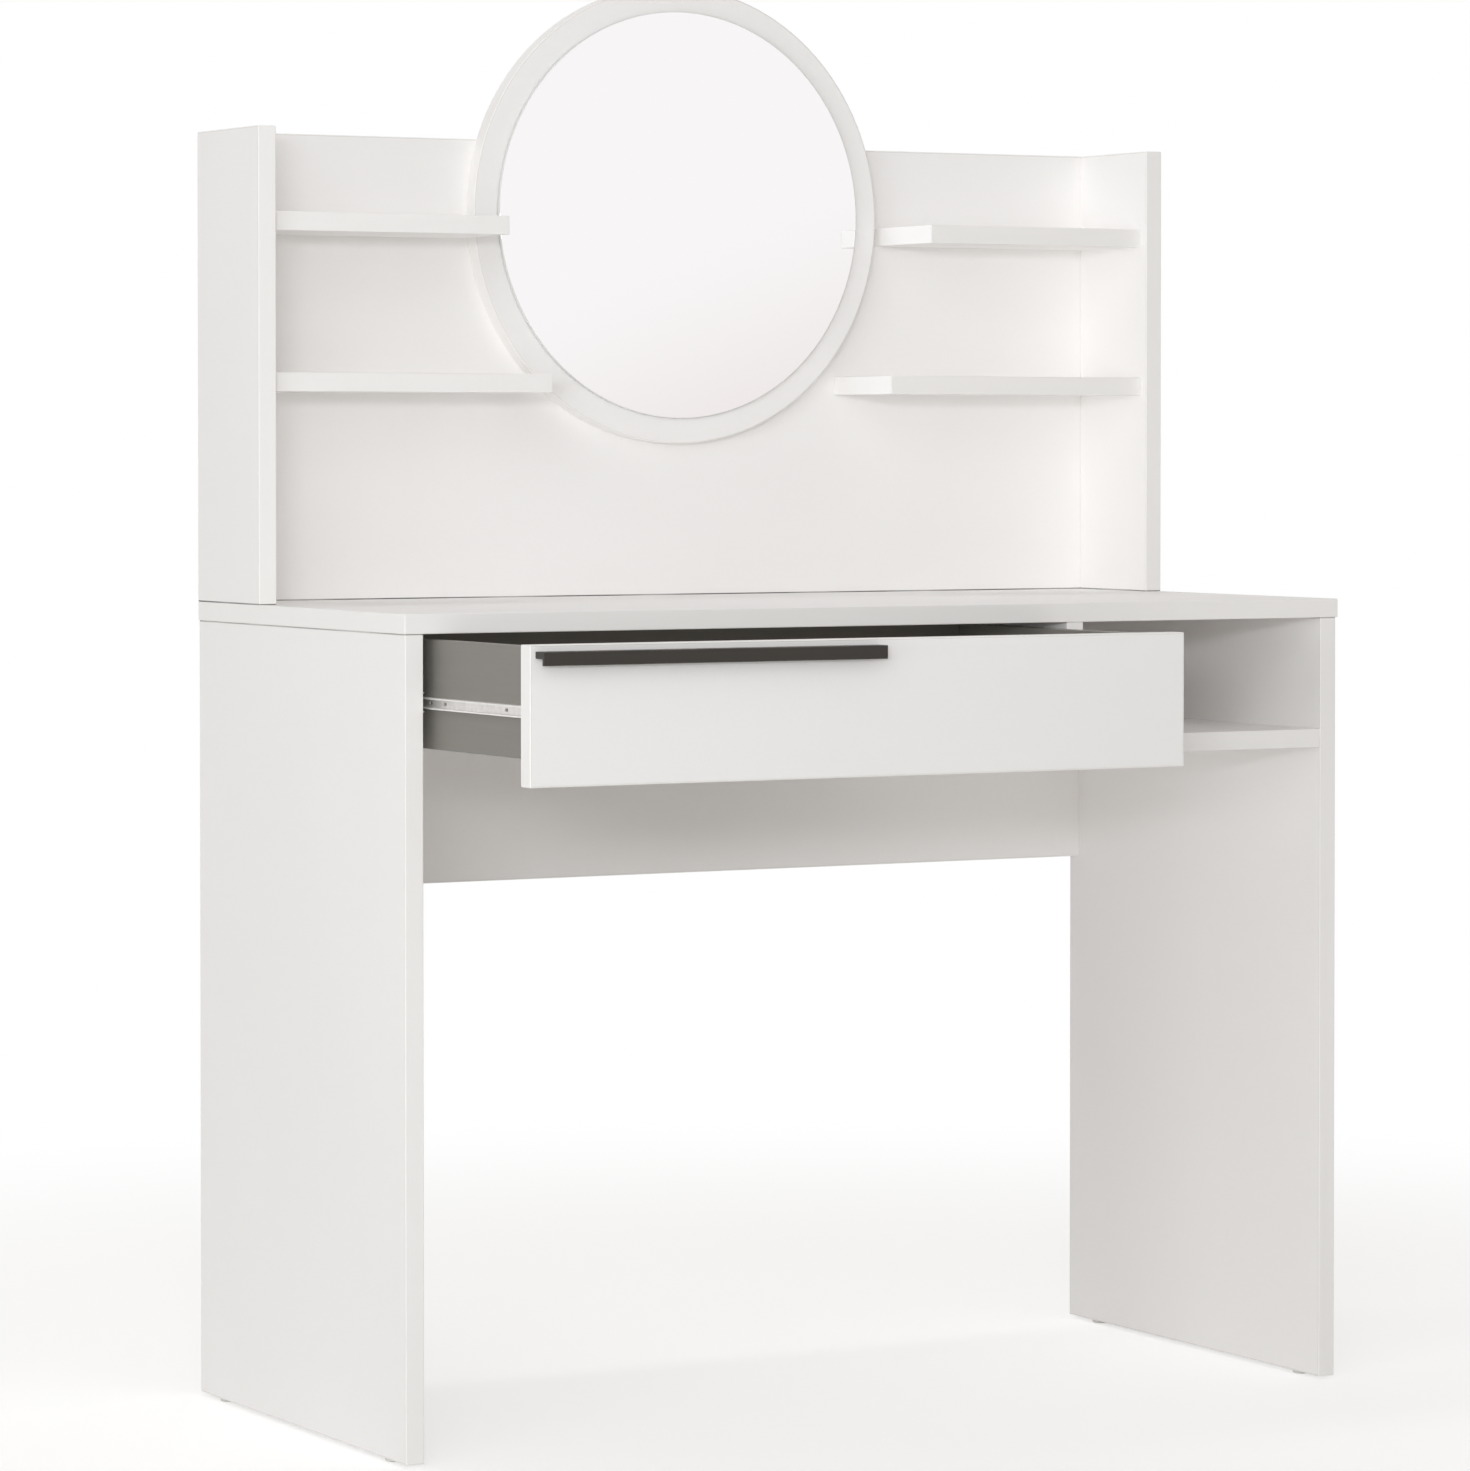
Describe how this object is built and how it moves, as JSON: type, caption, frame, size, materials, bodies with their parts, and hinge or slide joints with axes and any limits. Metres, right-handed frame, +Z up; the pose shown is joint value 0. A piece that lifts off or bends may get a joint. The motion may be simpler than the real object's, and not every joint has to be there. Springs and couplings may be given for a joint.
{
  "type": "dressing table",
  "caption": "White panel-leg dressing table with a wide inset drawer, an open compartment and a low hutch that carries small shelves and a round mirror.",
  "frame": {"origin": "on the floor, at the middle of the box around the table as it stands with its drawer drawn out 200 mm", "axes": "+Z up, front of the table towards -Y, so that the drawer opens along -Y; +X to the sitter's right, where the open compartment is"},
  "size_m": [1, 0.6676, 1.3555],
  "materials": {
    "white_melamine": "white melamine on chipboard, satin",
    "drawer_grey": "grey foil on fibreboard, matt",
    "grey_hardboard": "thin grey-faced hardboard",
    "dark_pull": "dark brown-black matt coating on an aluminium section",
    "mirror": "silvered float glass, ground edge",
    "foam_tape": "foam mounting tape",
    "zinc_steel": "bright zinc on pressed sheet steel",
    "ball_steel": "polished bearing balls",
    "screw_steel": "bright zinc",
    "cam_zinc": "die-cast zinc",
    "beech": "fluted beech",
    "glide_plastic": "white polyethylene",
    "dark_plastic": "black plastic"
  },
  "bodies": {
    "carcass": {"desktop": "white_melamine", "left_side_panel": "white_melamine", "right_side_panel": "white_melamine", "modesty_panel": "white_melamine", "compartment_divider": "white_melamine", "compartment_shelf": "white_melamine", "hutch_left_side": "white_melamine", "hutch_right_side": "white_melamine", "hutch_back_panel": "white_melamine", "upper_left_shelf": "white_melamine", "upper_right_shelf": "white_melamine", "lower_left_shelf": "white_melamine", "lower_right_shelf": "white_melamine", "mirror_backboard": "white_melamine", "mirror_glass": "mirror", "mirror_tape_pads": "foam_tape", "left_cabinet_rail": "zinc_steel", "right_cabinet_rail": "zinc_steel", "rail_bumpers": "dark_plastic", "foot_glides": "glide_plastic", "carcass_dowels": "beech", "hutch_dowels": "beech", "carcass_cam_bolts": "screw_steel", "hutch_cam_bolts": "screw_steel", "carcass_cam_housings": "cam_zinc", "hutch_cam_housings": "cam_zinc", "shelf_screws": "screw_steel", "divider_screws": "screw_steel", "mirror_board_screws": "screw_steel", "joining_plates": "zinc_steel", "joining_plate_screws": "screw_steel", "cabinet_rail_screws": "screw_steel"},
    "drawer": {"drawer_front": "white_melamine", "drawer_left_side": "drawer_grey", "drawer_right_side": "drawer_grey", "drawer_back": "drawer_grey", "drawer_bottom": "grey_hardboard", "drawer_handle": "dark_pull", "handle_screws": "screw_steel", "left_drawer_rail": "zinc_steel", "right_drawer_rail": "zinc_steel", "drawer_rail_screws": "screw_steel", "drawer_dowels": "beech", "drawer_cam_bolts": "screw_steel", "drawer_cam_housings": "cam_zinc", "drawer_corner_screws": "screw_steel", "drawer_bottom_screws": "screw_steel"},
    "left_cage": {"left_ball_cage": "zinc_steel", "left_slide_balls": "ball_steel"},
    "right_cage": {"right_ball_cage": "zinc_steel", "right_slide_balls": "ball_steel"}
  },
  "joints": [
    {"name": "drawer_slide", "type": "slide", "parent": "carcass", "child": "drawer", "axis": [0, -1, 0], "range_m": [-0.2, 0.06]},
    {"name": "left_cage_slide", "type": "slide", "parent": "carcass", "child": "left_cage", "axis": [0, -1, 0], "range_m": [-0.1, 0.03]},
    {"name": "right_cage_slide", "type": "slide", "parent": "carcass", "child": "right_cage", "axis": [0, -1, 0], "range_m": [-0.1, 0.03]}
  ],
  "couplings": [
    {"joint": "left_cage_slide", "follows": "drawer_slide", "ratio": 0.5},
    {"joint": "right_cage_slide", "follows": "drawer_slide", "ratio": 0.5}
  ]
}
